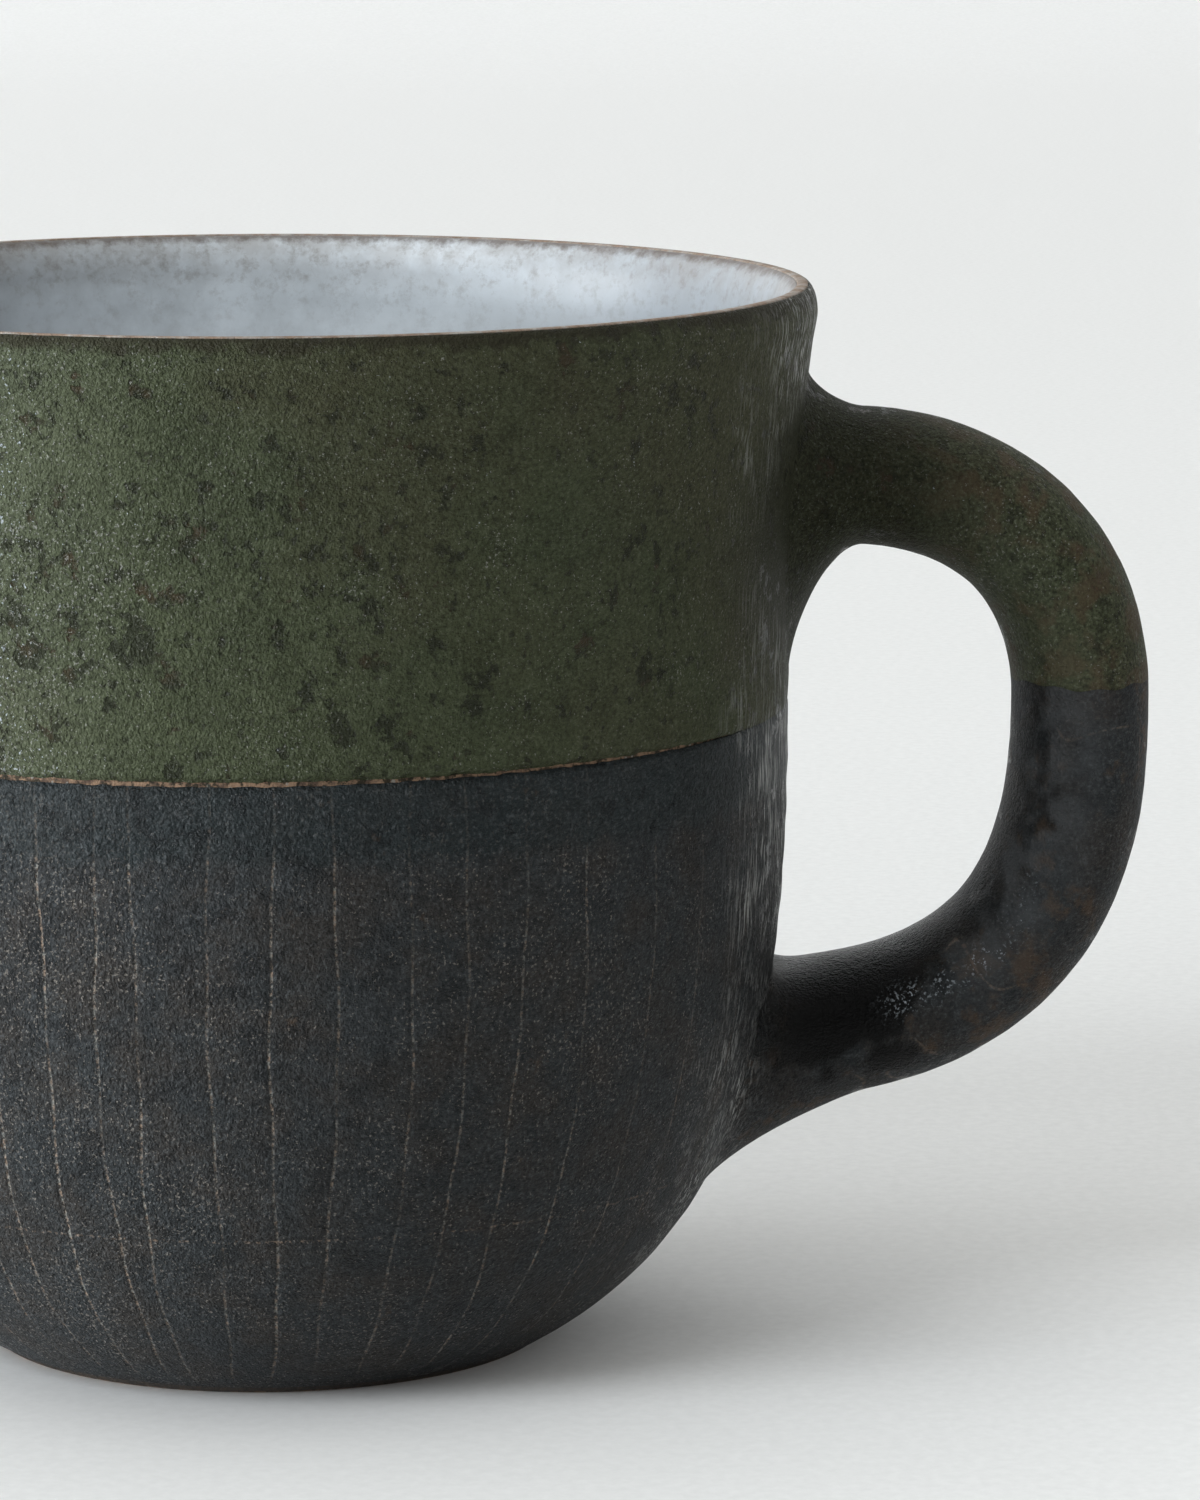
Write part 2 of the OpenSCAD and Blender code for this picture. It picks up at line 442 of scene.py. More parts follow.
GREEN_SPOTTED = (-9 * MM, -43 * MM, 66 * MM)
BLACK_SPOTTED = (-6 * MM, -43 * MM, 40 * MM)
BEND_PATCH = (61 * MM, -7 * MM, 31 * MM)
GREEN = (0.056, 0.067, 0.034)
GREEN_DEEP = (0.040, 0.049, 0.024)
GREEN_PALE = (0.120, 0.135, 0.090)
OLIVE = (0.053, 0.052, 0.027)
GREEN_SPOT = (0.009, 0.010, 0.005)
OLIVE_BROWN = (0.040, 0.030, 0.014)
RUST = (0.085, 0.052, 0.030)
SLIP = (0.0275, 0.031, 0.033)
SLIP_DEEP = (0.006, 0.007, 0.008)
SLIP_PALE = (0.085, 0.090, 0.095)
SLIP_BROWN = (0.034, 0.031, 0.0285)
SLIP_BAND = (0.012, 0.019, 0.0205)
SHADE_BLACK = (0.003, 0.003, 0.003)
GLINT = (0.42, 0.46, 0.50)
SCRAPE_SHEEN = (0.52, 0.525, 0.51)
TAN = (0.30, 0.22, 0.165)
GRIT = (0.26, 0.26, 0.24)
GRIT_WARM = (0.25, 0.225, 0.20)
CLAY = (0.24, 0.155, 0.10)
CLAY_DARK = (0.075, 0.048, 0.034)
CREST_TAN = (0.33, 0.245, 0.19)
CREST_PALE = (0.50, 0.47, 0.44)
RIM_BROWN = (0.024, 0.021, 0.012)
LINER = (0.70, 0.75, 0.80)
LINER_SHADED = (0.37, 0.40, 0.435)
LINER_THIN = (0.30, 0.32, 0.33)
LINER_TAN = (0.25, 0.225, 0.205)
LINER_SPECK = (0.20, 0.17, 0.145)
PAPER_GREY = (0.72, 0.72, 0.72)
PAPER_PALE = (0.90, 0.90, 0.90)
WHITE = (1, 1, 1, 1)


def clay_material():
    """Bare toasted stoneware, sandy and speckled, darker a little way above the lowest edge of the foot."""
    p = Paint("bare_stoneware")
    cloud = p.noise(0.9 * MM, 4, 0.7)
    colour = p.mix(CLAY_DARK, CLAY, p.ranged(cloud, 0.40, 0.58))
    colour = p.mix(colour, GRIT, p.times(p.dots(0.55 * MM, 0.2 * MM, 0.5), 0.7))
    colour = p.mix(colour, GREEN_SPOT, p.ranged(p.noise(0.6 * MM, 3, 0.7, shift=0.004), 0.50, 0.58, 0, 0.85))
    height = p.coordinate(2)
    crest = p.ranged(height, rim_z - 0.9 * MM, rim_z - 0.3 * MM)
    worn = p.mix(CREST_TAN, CREST_PALE, p.ranged(p.noise(1.6 * MM, 4, 0.7, shift=0.008), 0.42, 0.60))
    colour = p.mix(colour, worn, p.times(crest, p.ranged(cloud, 0.3, 0.6, 0.9, 0.45)))
    # darker from about 0.3 mm up, fading out by 3 mm
    low_dark_band = p.ranged(height, 0.15 * MM, 0.3 * MM)
    low_dark_band = p.times(low_dark_band, p.ranged(height, 1.2 * MM, 3 * MM, 0.85, 0.0))
    colour = p.mix(colour, SLIP_BROWN, low_dark_band)
    sand = p.noise(0.22 * MM, 3, 0.6)
    return p.finish(colour, 0.75, p.bump(sand, 0.14 * MM), 0.2)


def sanded(p, colour, dark, pale, amount):
    """The colour with soft mottling and fine dark and pale grains in it."""
    soft = p.noise(1.3 * MM, 3, 0.65, shift=0.045)
    colour = p.mix(dark, colour, p.ranged(soft, 0.34, 0.50, 1 - 0.45 * amount, 1.0))
    colour = p.mix(colour, pale, p.ranged(soft, 0.54, 0.70, 0.0, 0.25 * amount))
    fine = p.noise(0.32 * MM, 3, 0.65, shift=0.002)
    colour = p.mix(dark, colour, p.ranged(fine, 0.34, 0.50, 1 - amount, 1.0))
    return p.mix(colour, pale, p.ranged(fine, 0.54, 0.70, 0.0, amount))


def flecks(p, size, low, shift):
    """Small ragged specks from 0 to 1, in drifts; fewer of them as low goes up."""
    drift = p.ranged(p.noise(9 * MM, 3, 0.6, shift=shift), 0.35, 0.65, -0.04, 0.04)
    level = p.plus(p.noise(size, 2, 0.65, shift=2 * shift), drift)
    return p.ranged(p.minus(level, low), 0.0, 0.06)


def sand_relief(p, calm):
    """Height of the sandy skin, from 0 to about 1.5, lower where calm is low."""
    fine = p.noise(0.42 * MM, 3, 0.7)
    finer = p.noise(0.20 * MM, 1, 0.5, shift=0.017)
    return p.times(p.plus(fine, p.times(finer, 0.5)), calm)


def scrapes_and_sheen(p):
    """Upright scrape marks with painted sheen on them, from 0 to 1, on the wall beside the handle."""
    upright = p.scaled((1, 1, 0.07))
    radius = p.distance(p.scaled((1, 1, 0)), (0, 0, 0))
    beside = p.math("DIVIDE", p.coordinate(0), radius)
    beside = p.plus(beside, p.ranged(p.noise(6 * MM, 3, 0.6, shift=0.031), 0.3, 0.7, -0.045, 0.045))
    beside = p.math("POWER", p.ranged(beside, 0.83, 0.97), 1.6)
    patches = p.ranged(p.noise(5 * MM, 4, 0.65, shift=0.011), 0.38, 0.58, 0.25, 1.0)
    lines = p.ranged(p.noise(0.30 * MM, 2, 0.6, upright), 0.52, 0.60)
    lines = p.times(lines, patches)
    return p.times(p.times(lines, beside), p.math("POWER", p.mark("wall"), 3))


def root_gap(p, root_z):
    """Distance from one root of the handle, uneven, and shorter across the wall than up and down it."""
    oval = (1, 0.65, 1.2)
    gap = p.distance(p.scaled(oval), (waist_r, 0, root_z * oval[2]))
    return p.plus(gap, p.ranged(p.noise(5 * MM, 3, 0.6), 0, 1, -2 * MM, 2 * MM))


def pitted_spots(p, low, size, centre):
    """Irregular clusters of pits from 0 to 1, thickest round a place on the front left of the wall."""
    bent = p.wobble(1.1 * MM, 0.9 * MM)
    away = p.ranged(p.distance(p.place, centre), 8 * MM, 36 * MM, -0.01, 0.05)
    drift = p.ranged(p.noise(12 * MM, 2, 0.5, shift=0.033), 0.35, 0.65, 0.03, -0.03)
    blots = p.noise(size, 4, 0.6, bent)
    pits = p.noise(0.6 * MM, 3, 0.7, shift=0.007)
    level = p.minus(p.plus(blots, p.times(pits, 0.34)), p.plus(away, drift))
    return p.ranged(level, low, low + 0.06)


def green_material(name, rust, grainy):
    """Matte green glaze: sandy, with dark pitted clusters, some with a rusty heart.

    rust says how much of the patches shows, from 0 to 0.1, and grainy how strong the sand is, from 0 to 1."""
    p = Paint(name)
    cloud = p.noise(6 * MM, 4, 0.6)
    colour = p.mix(GREEN_DEEP, GREEN, p.ranged(cloud, 0.3, 0.6))
    across = p.coordinate(0)
    olive = p.ranged(across, -20 * MM, 25 * MM, -0.16, 0.08)
    olive = p.plus(p.noise(26 * MM, 3, 0.6, shift=0.05), olive)
    colour = p.mix(colour, OLIVE, p.ranged(olive, 0.42, 0.62, 0, 0.8))
    # painted light: the green turns paler towards the left, the side the window light comes from
    colour = p.mix(colour, GREEN_PALE, p.ranged(across, -24 * MM, -8 * MM, 0.42, 0.0))
    colour = sanded(p, colour, GREEN_SPOT, GREEN_PALE, grainy)
    big = pitted_spots(p, 0.725, 2.2 * MM, GREEN_SPOTTED)
    small = p.dots(1.2 * MM, 0.45 * MM, 0.55, p.wobble(0.7 * MM, 0.7 * MM), 0.013)
    spots = p.larger(big, p.times(small, 0.7))
    colour = p.mix(colour, GREEN_SPOT, p.times(spots, 0.72))
    patch = p.ranged(p.noise(3.5 * MM, 3, 0.6, shift=0.021), 0.58 - rust, 0.68 - rust)
    on_handle = p.ranged(across, 50 * MM, 59 * MM, 0.0, 5 * rust)
    heart = p.times(patch, p.larger(on_handle, p.times(big, 0.65)))
    colour = p.mix(colour, p.mix(OLIVE_BROWN, RUST, min(1, rust * 12)), heart)
    # pale grit specks, thicker towards the left, where they also serve as painted glints
    grit_and_glints = flecks(p, 0.24 * MM, p.ranged(across, -18 * MM, -6 * MM, 0.60, 0.65), 0.019)
    colour = p.mix(colour, GRIT, p.times(grit_and_glints, 0.65))
    # painted glints: pale specks, thickest on the left side
    painted_glints = flecks(p, 0.38 * MM, p.ranged(across, -24 * MM, -12 * MM, 0.60, 0.74), 0.023)
    colour = p.mix(colour, GLINT, p.times(painted_glints, 0.8))
    height = p.coordinate(2)
    rim_edge = p.plus(height, p.ranged(p.noise(2.5 * MM, 4, 0.7), 0.2, 0.8, -1.2 * MM, 1.2 * MM))
    colour = p.mix(colour, RIM_BROWN, p.ranged(rim_edge, rim_z - 1.5 * MM, rim_z - 0.6 * MM, 0, 0.8))
    # painted shade round the handle's upper root, on the wall and on the handle alike
    shade = p.ranged(root_gap(p, upper_shade_z), 12 * MM, 20 * MM, 1.0, 0.0)
    colour = p.mix(colour, GREEN_SPOT, p.times(shade, 0.6))
    # painted sheen along the handle's inner side
    colour = p.mix(colour, GREEN_PALE, p.times(p.mark("painted_sheen"), 0.27))
    # real scrape marks, painted pale as a sheen on the wall's handle side
    scrape_sheen = p.times(scrapes_and_sheen(p), p.minus(1, shade))
    colour = p.mix(colour, SCRAPE_SHEEN, scrape_sheen)
    seam_edge = p.plus(height, p.ranged(p.noise(1.1 * MM, 3, 0.6), 0, 1, -0.7 * MM, 0.7 * MM))
    overlap = p.times(p.ranged(seam_edge, seam_z, seam_z + 0.8 * MM, 1, 0), p.minus(1, p.mark("wall")))
    colour = p.mix(colour, SLIP, overlap)
    roughness = p.ranged(p.larger(spots, grit_and_glints), 0, 1, 0.58, 0.30)
    normal = p.bump(sand_relief(p, 1.0), 0.5 * MM)
    normal = p.bump(p.minus(scrape_sheen, spots), 0.06 * MM, normal)
    return p.finish(colour, roughness, normal)


def hair_scratches(p):
    """A few thin curved lines from 0 to 1, broken along their length."""
    bend = p.math("ABSOLUTE", p.minus(p.noise(11 * MM, 1, 0.4, shift=0.061), 0.5))
    line = p.ranged(bend, 0.002, 0.006, 1.0, 0.0)
    line = p.times(line, p.ranged(p.noise(6 * MM, 2, 0.5, shift=0.071), 0.50, 0.58))
    return p.times(line, p.ranged(p.noise(0.5 * MM, 3, 0.7), 0.42, 0.58))


def slip_material(name, rust):
    """Matte black slip: blue-black and sandy, browner in clouds, with scratches down to the clay.

    rust says how much of the rusty patches and hair scratches shows, from 0 to 0.1."""
    p = Paint(name)
    cloud = p.noise(5 * MM, 5, 0.65)
    colour = p.mix(SLIP, SLIP_BROWN, p.ranged(cloud, 0.42, 0.62))
    height = p.coordinate(2)
    wall = p.mark("wall")
    edge = p.plus(height, p.ranged(p.noise(1.6 * MM, 4, 0.65), 0, 1, -2.0 * MM, 2.0 * MM))
    band = p.times(p.ranged(edge, seam_z - 6.8 * MM, seam_z - 5.4 * MM), wall)
    colour = p.mix(colour, SLIP_BAND, p.times(band, 0.72))
    across = p.coordinate(0)
    # painted light: the band turns paler towards the left, the side the window light comes from
    colour = p.mix(colour, SLIP_PALE, p.times(band, p.ranged(across, -24 * MM, -8 * MM, 0.15, 0.0)))
    colour = sanded(p, colour, SLIP_DEEP, SLIP_PALE, 0.62)
    dark = pitted_spots(p, 0.705, 2.6 * MM, BLACK_SPOTTED)
    colour = p.mix(colour, SLIP_DEEP, p.times(dark, 0.5))
    bend = p.ranged(p.distance(p.place, BEND_PATCH), 3 * MM, 9 * MM, 0.07, 0.0)
    patch = p.plus(p.noise(4 * MM, 5, 0.7, shift=0.021), bend)
    patch = p.ranged(patch, 0.66 - rust, 0.76 - rust)
    colour = p.mix(colour, RUST, p.times(patch, 0.55))
    # warm grit specks, thicker towards the left, where they also serve as painted glints
    grit_and_glints = flecks(p, 0.26 * MM, p.ranged(across, -20 * MM, -4 * MM, 0.59, 0.63), 0.019)
    grit_share = p.times(p.ranged(band, 0, 1, 1.0, 0.3), p.ranged(wall, 0, 1, 0.15, 0.5))
    colour = p.mix(colour, GRIT_WARM, p.times(grit_and_glints, grit_share))
    broken = p.ranged(p.noise(0.42 * MM, 3, 0.75, shift=0.003), 0.45, 0.58)
    scratch = p.times(p.mark("scratch"), p.ranged(broken, 0, 1, 0.06, 1.0))
    scratch = p.times(scratch, p.ranged(band, 0, 1, 1.0, 0.25))
    colour = p.mix(colour, p.mix(TAN, GRIT, p.ranged(p.noise(0.5 * MM, 2), 0.4, 0.6)), scratch)
    tool = p.math("ABSOLUTE", p.minus(height, tool_line_z))
    tool = p.times(p.ranged(tool, 0.05 * MM, 0.16 * MM, 1.0, 0.0), wall)
    tool = p.times(tool, p.ranged(p.noise(0.35 * MM, 2, 0.6, shift=0.009), 0.52, 0.66))
    colour = p.mix(colour, TAN, p.times(tool, 0.45))
    # painted shade round the handle's lower root: the wall darkens there and dark pits gather inside it
    shade = p.times(p.ranged(root_gap(p, lower_shade_z), 8 * MM, 18 * MM, 1.0, 0.0), wall)
    pits = p.plus(p.noise(0.7 * MM, 3, 0.7, shift=0.051), p.times(shade, 0.13))
    pits = p.times(p.ranged(pits, 0.60, 0.66), shade)
    colour = p.mix(colour, SLIP_DEEP, p.times(shade, 0.75))
    # real scrape marks, painted pale as a sheen on the wall's handle side
    scrape_sheen = p.times(scrapes_and_sheen(p), p.minus(1, p.times(shade, 0.5)))
    colour = p.mix(colour, SCRAPE_SHEEN, scrape_sheen)
    colour = p.mix(colour, SHADE_BLACK, p.times(pits, 0.85))
    # painted sheen along the handle's inner side
    colour = p.mix(colour, SLIP_PALE, p.times(p.mark("painted_sheen"), 0.65))
    colour = p.mix(colour, TAN, p.times(hair_scratches(p), 0.3 * min(1, rust * 12)))
    # painted shade, near black, in the crotch and along the loop's inner side, where the coat is also
    # glossier
    gloss_and_shade = p.mark("gloss_and_shade")
    colour = p.mix(colour, SHADE_BLACK, gloss_and_shade)
    # painted glints along a line on the handle's lower arm
    glint = p.times(p.mark("glint"), flecks(p, 0.30 * MM, 0.605, 0.029))
    colour = p.mix(colour, GLINT, p.times(glint, 0.8))
    glossy = p.larger(p.times(band, 0.35), gloss_and_shade)
    roughness = p.ranged(p.larger(dark, grit_and_glints), 0, 1, 0.58, 0.30)
    roughness = p.larger(p.minus(roughness, p.times(glossy, 0.36)), 0.2)
    calm = p.ranged(band, 0, 1, 1.0, 0.8)
    normal = p.bump(sand_relief(p, calm), 0.48 * MM)
    return p.finish(colour, roughness, p.bump(p.minus(scrape_sheen, pits), 0.10 * MM, normal))


def liner_material():
    """Pale satin glaze, milky and mottled, breaking to brown specks under the rim."""
    p = Paint("pale_liner")
    cloud = p.noise(4 * MM, 5, 0.65)
    across = p.plus(p.coordinate(0), p.ranged(cloud, 0, 1, -6 * MM, 6 * MM))
    # painted shade: the liner greys towards +x and towards -x
    colour = p.mix(LINER, LINER_SHADED, p.ranged(across, 18 * MM, 36 * MM))
    colour = p.mix(colour, LINER_SHADED, p.ranged(across, -26 * MM, -4 * MM, 0.8, 0.0))
    colour = p.mix(colour, LINER_THIN, p.ranged(cloud, 0.35, 0.6, 0.25, 0.0))
    height = p.coordinate(2)
    tint = p.ranged(p.noise(2.5 * MM, 4, 0.65, shift=0.027), 0.3, 0.6, 0.1, 0.6)
    tint = p.times(tint, p.ranged(height, rim_z - 5 * MM, rim_z - 0.5 * MM))
    colour = p.mix(colour, LINER_TAN, tint)
    specks = p.ranged(p.noise(1.3 * MM, 5, 0.75, shift=0.041), 0.50, 0.70)
    specks = p.times(specks, p.ranged(height, rim_z - 9 * MM, rim_z - 1 * MM, 0.1, 0.6))
    colour = p.mix(colour, LINER_SPECK, specks)
    torn = p.plus(height, p.ranged(p.noise(1.2 * MM, 4, 0.7), 0, 1, -0.8 * MM, 0.8 * MM))
    colour = p.mix(colour, CLAY_DARK, p.ranged(torn, rim_z - 0.8 * MM, rim_z - 0.2 * MM, 0, 0.75))
    normal = p.bump(p.noise(1.2 * MM, 3), 0.05 * MM)
    return p.finish(colour, p.ranged(cloud, 0.3, 0.6, 0.46, 0.38), normal, 0.4)


# ---- pieces of the body ----

def beside_handle(az):
    """From 0 to 1 towards the side of the wall that the handle is on, where the two coats meet flush."""
    return smooth((np.sin(az) - 0.7) / 0.25)


def bare_width(az):
    """Width of the bare clay line between the colours, widest at the front left."""
    return bare_line * np.maximum(0.3, 0.35 + 0.75 * np.cos(az + 0.45)) * (1 - 0.93 * beside_handle(az))


def clay_depth(s):
    """How far the clay lies under the outside at lengths s: less at the foot and at the rim."""
    return coat_t * edge_fade(outside.length - s, rim_fade, thinnest) * edge_fade(s, foot_fade, thinnest)


def coat_rows(s, az, face):
    """Closed cross-sections of a coat on the outside: its face as given, then its underside in the clay."""
    under = s[-1] + (s[0] - s[-1]) * crowded(30, at=0)
    az = az[[-1]]
    warp = wall_warp(az, outside.at(under)[1])
    return np.concatenate([face, spun(outside, under, az, warp - clay_depth(under) - coat_lap)])


def green_wall(material):
    """Green coat from the torn edge at the colour line up to the crest of the rim."""
    az = full_turn(GREEN_COLUMNS)
    low = seam_s + seam_wave(az) + bare_width(az) / 2
    s = lengths_between(low, outside.length + 0 * az, 96, EDGE)
    z = outside.at(s)[1]
    fade = edge_fade(s - low, 0.45 * MM, 0.1 + 0.75 * beside_handle(az))
    bead = bead_t * np.exp(-((s - low - 0.5 * MM) / (0.5 * MM)) ** 2) * (1 - beside_handle(az))
    offset = wall_warp(az, z) + coat_t * (fade - 1) + bead
    skin = spun(outside, s, az, offset)
    skin = spun(outside, s, az, offset + grain(skin, 2.2 * MM, 0.02 * MM))
    rows = coat_rows(s, az, skin)
    piece = make_piece("green_wall_glaze", *ring_mesh(rows), "green_matte_glaze", ["green_glaze"], material)
    keep_values(piece, "wall", np.ones(rows.shape[:2]))


def scratch_azimuths():
    """Azimuths of the scratched lines: the front ones as they lie, the rest at uneven steps behind."""
    front = np.radians([-24, -18, -14, -6, 0.5, 7, 15, 21, 27.5, 35.5, 45, 53, 64])
    steps = np.cumsum(np.random.default_rng(5).uniform(0.6, 1.4, BACK_SCRATCHES + 1))
    gap = TURN + front[0] - front[-1]
    return np.concatenate([front, front[-1] + gap * steps[:-1] / steps[-1]])


def scratched_columns(s):
    """Azimuth, scratch strength and groove depth of every point, in columns.

    Five columns make a line, and plain ones lie between two lines."""
    start = scratch_azimuths()
    rng = np.random.default_rng(8)
    phase = rng.uniform(0, TURN, (4, len(start)))
    sway = 0.24 * np.sin(s / (7 * MM) + phase[0]) + 0.09 * np.sin(s / (1.9 * MM) + phase[1])
    strength = 0.72 + 0.28 * np.sin(s / (4.5 * MM) + phase[2]) + 0.18 * np.sin(s / (1.6 * MM) + phase[3])
    strength = np.clip(strength * rng.uniform(0.6, 1.1, len(start)), 0.1, 1) * smooth((s - 1 * MM) / (5 * MM))
    faint = smooth((start - 0.2) / 0.4) * smooth((3 - start) / 0.4) * smooth((s - 25 * MM) / (15 * MM))
    strength = strength * (1 - 0.5 * faint)
    radius = outside.at(s)[0]
    line = start + sway * MM / radius
    following = np.roll(line, -1, axis=1)
    following[:, -1] += TURN
    half = scratch_half / radius
    az, mark, depth = [], [], []
    for place, colour, cut in ((-1, 0, 0), (-0.5, 0.75, 0.7), (0, 1, 1), (0.5, 0.75, 0.7), (1, 0, 0)):
        az.append(line + place * half)
        mark.append(colour * strength)
        depth.append(cut * strength)
    plain = 0 * strength
    for share in np.linspace(0, 1, PLAIN_COLUMNS + 2)[1:-1]:
        az.append((line + half) * (1 - share) + (following - half) * share)
        mark.append(plain)
        depth.append(plain)
    return [np.stack(part, axis=2).reshape(len(s), -1) for part in (az, mark, depth)]


def black_wall(material):
    """Black coat from the foot up to the colour line, with grooves scratched down it."""
    rows = lengths_between(np.zeros((1, 1)), np.array([[seam_s]]), 112, EDGE)
    az, mark, depth = scratched_columns(rows)
    edge_az = az[[-1]]
    top = seam_s + seam_wave(edge_az + 0.3 * (1 - beside_handle(edge_az))) - bare_width(edge_az) / 2
    s = rows * top / seam_s
    z = outside.at(s)[1]
    filled = smooth((seam_z - 6 * MM - z) / (1 * MM))
    fade = edge_fade(top - s, 0.35 * MM, 0.15 + 0.7 * beside_handle(az))
    tool = 0.03 * MM * np.exp(-((z - tool_line_z) / (0.35 * MM)) ** 2)
    groove = groove_t * depth * (0.35 + 0.65 * filled)
    offset = wall_warp(az, z) + coat_t * (fade - 1) + tool - groove
    skin = spun(outside, s, az, offset)
    skin = spun(outside, s, az, offset + grain(skin, 2.2 * MM, 0.025 * MM))
    closed = coat_rows(s, az, skin)
    piece = make_piece("black_wall_slip", *ring_mesh(closed), "black_matte_slip", ["black_slip"], material)
    plain = np.zeros((len(closed) - len(mark), mark.shape[1]))
    keep_values(piece, "scratch", np.vstack([mark, plain]))
    keep_values(piece, "wall", np.ones(closed.shape[:2]))


def liner(material):
    """Pale coat over the whole inside."""
    az = full_turn(WALL_COLUMNS)
    s = (inside.length - floor_cap) * crowded(140, at=0)
    face = spun(inside, s, az, -wall_warp(az, inside.at(s)[1]))
    s = s[::3]
    thickness = liner_t * edge_fade(s, rim_fade, thinnest)
    under = spun(inside, s, az, -wall_warp(az, inside.at(s)[1]) - thickness - coat_lap)
    points, faces = capped_mesh(np.concatenate([face[::-1], under]))
    make_piece("liner_coat", points, faces, "pale_liner_glaze", ["liner_glaze"], material)


def clay_body(material):
    """Thrown cup: it shows along the crest of the rim, between the colours and under the foot."""
    az = full_turn(WALL_COLUMNS)
    up = outside.length * crowded(110, at=1)
    down = (inside.length - floor_cap) * crowded(70, at=0)
    outer_z, inner_z = outside.at(up)[1], inside.at(down)[1]
    inner_t = liner_t * edge_fade(down, rim_fade, thinnest)
    outer = spun(outside, up, az, wall_warp(az, outer_z) - clay_depth(up))
    inner = spun(inside, down, az, -wall_warp(az, inner_z) - inner_t)
    crest_turn = np.linspace(0, math.pi, 9)[1:-1, None]
    crest_r = rim_r + rim_line / 2 * np.cos(crest_turn)
    crest = turned(crest_r, rim_z - drop + drop * np.sin(crest_turn), az)
    trimmed = [(1 * MM, foot_hollow), (foot_r - foot_ring - 1.5 * MM, foot_hollow),
               (foot_r - foot_ring - 0.4 * MM, 0.3 * MM), (foot_r - foot_ring, 0), (foot_r - 0.5 * MM, 0),
               (foot_r + 0.1 * MM, 0.15 * MM)]
    foot = turned(*[np.array(part)[:, None] for part in zip(*trimmed)], az)
    points, faces = capped_mesh(np.concatenate([foot, outer, crest, inner]))
    make_piece("thrown_clay", points, faces, "stoneware_clay", ["thrown_body"], material)


# ---- pieces of the handle ----

upper_arm = Curve([(waist_r - 3 * MM, upper_join_z), (handle_reach - 11 * MM, upper_join_z + 4.4 * MM),
                   (handle_reach, seam_z + 13 * MM), (handle_reach, seam_z)])
lower_arm = Curve([(handle_reach, seam_z), (handle_reach, seam_z - 15.4 * MM),
                   (handle_reach - 5.7 * MM, lower_join_z - 2.2 * MM), (waist_r - 8 * MM, lower_join_z)])
loop = Curve(*upper_arm.stretches, *lower_arm.stretches)
loop_seam_s = upper_arm.length
upper_root_s = upper_arm.where(0, upper_root_x)
lower_root_s = loop_seam_s + lower_arm.where(0, lower_root_x)
turns = full_turn(HANDLE_COLUMNS)


def around(outer, side, inner):
    """A value for each turn round the handle, from those on its outer face, its sides and its inner face."""
    lean = np.cos(turns)
    return side + np.where(lean > 0, outer - side, inner - side) * lean ** 2


def loop_heading(s):
    """Unit direction of travel along the loop, in x and z."""
    left_x, left_z = loop.left(s)
    return left_z, -left_x


def loop_ring(s, grow=0.0):
    """Points round the handle at lengths s; turn 0 is the outside of the loop and turn 90 faces +Y."""
    x, z = loop.at(s)
    out_x, out_z = loop.left(s)
    near_top = 1 - smooth(s / (0.6 * upper_arm.length))
    near_end = smooth((s - upper_arm.length) / (0.5 * lower_arm.length))
    shift = 0.45 * MM * near_top + 0.65 * MM * near_end
    x, z = x + out_x * shift, z + out_z * shift
    swell = 0.35 * MM * near_top - 0.2 * MM * near_end
    half = (handle_top_t + (handle_end_t - handle_top_t) * s / loop.length) / 2 + swell + grow
    lean, side = np.cos(turns), np.sin(turns)
    reach = half * np.sign(lean) * np.abs(lean) ** handle_square
    wide = (handle_w / 2 + grow) * np.sign(side) * np.abs(side) ** handle_square
    return np.stack([x + out_x * reach, wide + 0 * x, z + out_z * reach], axis=-1)


def root_rows(start_s, travel, up, centre_z, reach, leave, arrive):
    """Skin from the handle's ring at start_s out onto an oval on the wall round centre_z, tangent to both.

    travel is the direction along the loop, up is +1 where the loop's outer face is above, reach is the
    oval's radius for each turn, and leave and arrive say how strongly the skin keeps its direction at each
    end."""
    lean, side = np.cos(turns), np.sin(turns)
    foot_s = outside.where(1, centre_z) + up * reach * lean
    radius, foot_z = outside.at(foot_s)
    az = math.pi / 2 + reach * side / radius
    end = spun(outside, foot_s, az, wall_warp(az, foot_z) - coat_lap)
    left_r, left_z = outside.left(foot_s)
    along = np.stack([left_z * np.sin(az), -left_z * np.cos(az), -left_r], axis=-1)
    across = np.stack([np.cos(az), np.sin(az), 0 * az], axis=-1)
    spread = up * lean[..., None] * along + side[..., None] * across
    spread /= np.linalg.norm(spread, axis=-1, keepdims=True)
    heading_x, heading_z = loop_heading(np.array([[start_s]]))
    heading = travel * np.stack([heading_x, 0 * heading_x, heading_z], axis=-1)
    t = (1 - np.cos(np.linspace(0, math.pi, ROOT_ROWS + 1))) / 2
    t = t[1:, None, None]
    start = loop_ring(np.array([[start_s]]))
    return ((2 * t ** 3 - 3 * t ** 2 + 1) * start + (t ** 3 - 2 * t ** 2 + t) * heading * leave[..., None]
            + (3 * t ** 2 - 2 * t ** 3) * end + (t ** 3 - t ** 2) * spread * arrive[..., None])


def surface_normals(grid):
    """Outward unit normals of a tube's grid of points."""
    along = np.gradient(grid, axis=0)
    round_it = np.roll(grid, -1, axis=1) - np.roll(grid, 1, axis=1)
    normal = np.cross(along, round_it)
    return normal / np.linalg.norm(normal, axis=-1, keepdims=True)


def end_fade(count, reach):
    """A column of that many numbers, 1 but for falling to 0 over that many rows at each end."""
    rows = np.arange(count)[:, None]
    return smooth(rows / reach) * smooth((count - 1 - rows) / reach)


